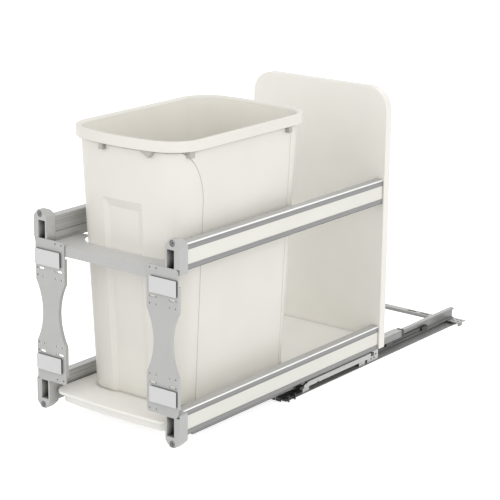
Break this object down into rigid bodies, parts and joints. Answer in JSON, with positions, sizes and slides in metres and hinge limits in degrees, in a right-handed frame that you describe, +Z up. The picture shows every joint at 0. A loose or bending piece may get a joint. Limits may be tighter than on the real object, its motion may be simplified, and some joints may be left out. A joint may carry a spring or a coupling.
{
  "type": "pull-out waste cabinet unit",
  "caption": "Door-mounted pull-out waste unit: a railed carriage with tray, shelf and back panel on soft-close floor slides, with a lift-out bin.",
  "frame": {"origin": "middle of the four floor screws, on the cabinet floor", "axes": "+X to the right seen from the door, +Y into the cabinet, +Z up; the carriage pulls out along -Y"},
  "size_m": [0.294, 0.8534, 0.4883],
  "materials": {
    "slide_steel": "zinc-plated",
    "dark_steel": "satin",
    "housing_metal": "satin",
    "black_plastic": "matt",
    "glide_plastic": "matt",
    "damper_tube": "satin",
    "rail_grey": "satin",
    "cap_grey": "satin",
    "sheet_grey": "satin",
    "insert_pale": "satin",
    "pad_foam": "matt foam",
    "pad_liner": "satin",
    "panel_board": "satin laminate",
    "tray_plastic": "satin",
    "bin_plastic": "satin",
    "screw_steel": "zinc-plated"
  },
  "bodies": {
    "base": {"cabinet_member_right": "slide_steel", "cabinet_member_left": "slide_steel", "front_foot_right": "dark_steel", "front_foot_left": "dark_steel", "rear_foot_right": "slide_steel", "rear_foot_left": "slide_steel", "damper_housing_right": "housing_metal", "damper_housing_left": "housing_metal", "damper_nose_right": "black_plastic", "damper_nose_left": "black_plastic", "damper_plug_right": "black_plastic", "damper_plug_left": "black_plastic", "damper_cylinder_right": "damper_tube", "damper_cylinder_left": "damper_tube", "front_cross_plate": "dark_steel", "rear_cross_channel": "slide_steel"},
    "carriage": {"runner_right": "slide_steel", "runner_left": "slide_steel", "upper_rail_right": "rail_grey", "upper_rail_left": "rail_grey", "lower_rail_right": "rail_grey", "lower_rail_left": "rail_grey", "upper_insert_right": "insert_pale", "upper_insert_left": "insert_pale", "lower_insert_right": "insert_pale", "lower_insert_left": "insert_pale", "upper_cap_right": "cap_grey", "upper_cap_left": "cap_grey", "lower_cap_right": "cap_grey", "lower_cap_left": "cap_grey", "door_bracket_right": "sheet_grey", "door_bracket_left": "sheet_grey", "lower_pad_right": "pad_foam", "lower_pad_left": "pad_foam", "upper_pad_right": "pad_foam", "upper_pad_left": "pad_foam", "runner_glide_right": "glide_plastic", "runner_glide_left": "glide_plastic", "cross_shelf": "sheet_grey", "back_panel": "panel_board", "base_tray": "tray_plastic", "pad_liners": "pad_liner", "cap_screws": "screw_steel", "panel_screws": "screw_steel", "shelf_screws": "screw_steel"},
    "middle": {"middle_member_right": "slide_steel", "middle_member_left": "slide_steel", "mid_glide_right": "glide_plastic", "mid_glide_left": "glide_plastic", "mid_end_block_right": "black_plastic", "mid_end_block_left": "black_plastic"},
    "cage": {"guide_cage_right": "glide_plastic", "guide_cage_left": "glide_plastic", "cage_end_right": "black_plastic", "cage_end_left": "black_plastic"},
    "bin": {"waste_bin": "bin_plastic"},
    "catch_right": {"soft_close_catch_right": "black_plastic"},
    "catch_left": {"soft_close_catch_left": "black_plastic"}
  },
  "joints": [
    {"name": "carriage_slide", "type": "slide", "parent": "base", "child": "carriage", "axis": [0, -1, 0], "range_m": [-0.285, 0.265]},
    {"name": "middle_slide", "type": "slide", "parent": "base", "child": "middle", "axis": [0, -1, 0], "range_m": [-0.1425, 0.1325]},
    {"name": "cage_slide", "type": "slide", "parent": "base", "child": "cage", "axis": [0, -1, 0], "range_m": [-0.07125, 0.06625]},
    {"name": "bin_lift", "type": "slide", "parent": "carriage", "child": "bin", "axis": [0, 0, 1], "range_m": [0, 0.45]},
    {"name": "catch_slide_right", "type": "slide", "parent": "base", "child": "catch_right", "axis": [0, 1, 0], "range_m": [0, 0.03]},
    {"name": "catch_slide_left", "type": "slide", "parent": "base", "child": "catch_left", "axis": [0, 1, 0], "range_m": [0, 0.03]}
  ],
  "couplings": [
    {"joint": "middle_slide", "follows": "carriage_slide", "ratio": 0.5},
    {"joint": "cage_slide", "follows": "carriage_slide", "ratio": 0.25}
  ]
}
